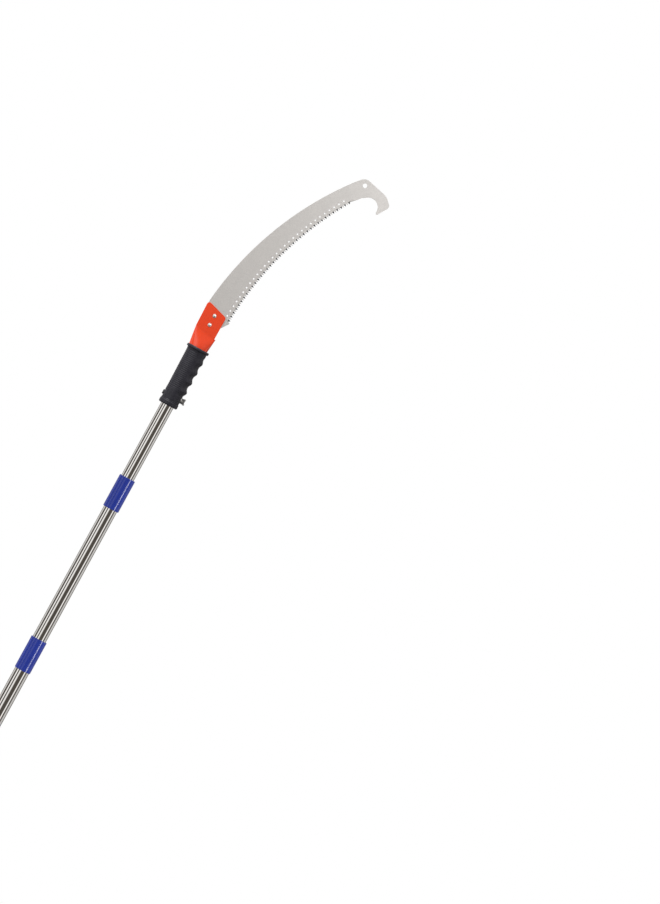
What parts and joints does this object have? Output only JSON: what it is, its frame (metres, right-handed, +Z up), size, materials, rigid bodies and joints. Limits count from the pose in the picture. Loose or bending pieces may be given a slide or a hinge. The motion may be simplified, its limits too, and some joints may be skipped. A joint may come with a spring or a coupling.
{
  "type": "telescoping pole saw",
  "caption": "Pruning saw with a curved, hook-tipped blade riveted into a painted steel socket with a finger grip, bolted on a telescoping steel pole with twist locks.",
  "frame": {"origin": "centre of the flat bottom face of the butt plug, on the pole's axis", "axes": "+Z runs up the pole to the blade; the blade lies in the XZ plane and its teeth and hook face +X; the bolt's head is on -X and the wing nut on +X"},
  "size_m": [0.198, 0.0422, 1.663],
  "materials": {
    "blade": "fine ground high-carbon steel, teeth ground on alternate sides",
    "rivet": "domed rivet heads, satin",
    "red_paint": "gloss orange-red enamel on pressed sheet",
    "grip_rubber": "moulded black PVC, fine ribs",
    "dark_bolt": "black oxide steel",
    "zinc": "bright zinc plate",
    "tube": "polished stainless steel tube",
    "sleeve": "glossy blue moulded plastic",
    "lock_plastic": "black moulded nylon",
    "expander": "natural white acetal",
    "cone": "turned brass",
    "butt": "moulded black rubber"
  },
  "bodies": {
    "lower_section": {"lower_tube": "tube", "lower_sleeve": "sleeve", "butt_plug": "butt"},
    "middle_expander": {"middle_lock_expander": "expander"},
    "middle_section": {"middle_tube": "tube", "upper_sleeve": "sleeve", "middle_lock_plug": "lock_plastic", "middle_lock_pin": "zinc", "middle_lock_screw": "zinc"},
    "middle_cone": {"middle_lock_cone": "cone"},
    "upper_expander": {"upper_lock_expander": "expander"},
    "upper_section": {"upper_tube": "tube", "upper_lock_plug": "lock_plastic", "upper_lock_pin": "zinc", "upper_lock_screw": "zinc", "blade_socket": "red_paint", "saw_blade": "blade", "rivets": "rivet", "hand_grip": "grip_rubber"},
    "upper_cone": {"upper_lock_cone": "cone"},
    "cross_bolt": {"cross_bolt": "dark_bolt"},
    "bolt_washer": {"bolt_washer": "zinc"},
    "wing_nut": {"wing_nut": "zinc"}
  },
  "joints": [
    {"name": "middle_slide", "type": "slide", "parent": "lower_section", "child": "middle_expander", "axis": [0, 0, 1], "range_m": [-0.258, 0.178]},
    {"name": "middle_twist", "type": "hinge", "parent": "middle_expander", "child": "middle_section", "pos_m": [0, 0, 0.4], "axis": [0, 0, 1], "range_deg": [-180, 0]},
    {"name": "middle_cone_slide", "type": "slide", "parent": "middle_expander", "child": "middle_cone", "axis": [0, 0, 1], "range_m": [0, 0.002]},
    {"name": "upper_slide", "type": "slide", "parent": "middle_section", "child": "upper_expander", "axis": [0, 0, 1], "range_m": [-0.143, 0.185]},
    {"name": "upper_twist", "type": "hinge", "parent": "upper_expander", "child": "upper_section", "pos_m": [0, 0, 0.7], "axis": [0, 0, 1], "range_deg": [-180, 0]},
    {"name": "upper_cone_slide", "type": "slide", "parent": "upper_expander", "child": "upper_cone", "axis": [0, 0, 1], "range_m": [0, 0.002]},
    {"name": "cross_bolt_slide", "type": "slide", "parent": "upper_section", "child": "cross_bolt", "axis": [-1, 0, 0], "range_m": [0, 0.04]},
    {"name": "bolt_washer_slide", "type": "slide", "parent": "upper_section", "child": "bolt_washer", "axis": [1, 0, 0], "range_m": [0, 0.004]},
    {"name": "wing_nut_turn", "type": "hinge", "parent": "bolt_washer", "child": "wing_nut", "pos_m": [0.018, 0, 1.167], "axis": [1, 0, 0], "range_deg": [0, 1800]}
  ],
  "couplings": [
    {"joint": "middle_cone_slide", "follows": "middle_twist", "m_per_rad": -0.00063662},
    {"joint": "upper_cone_slide", "follows": "upper_twist", "m_per_rad": -0.00063662},
    {"joint": "wing_nut_turn", "follows": "bolt_washer_slide", "rad_per_m": 7854}
  ]
}
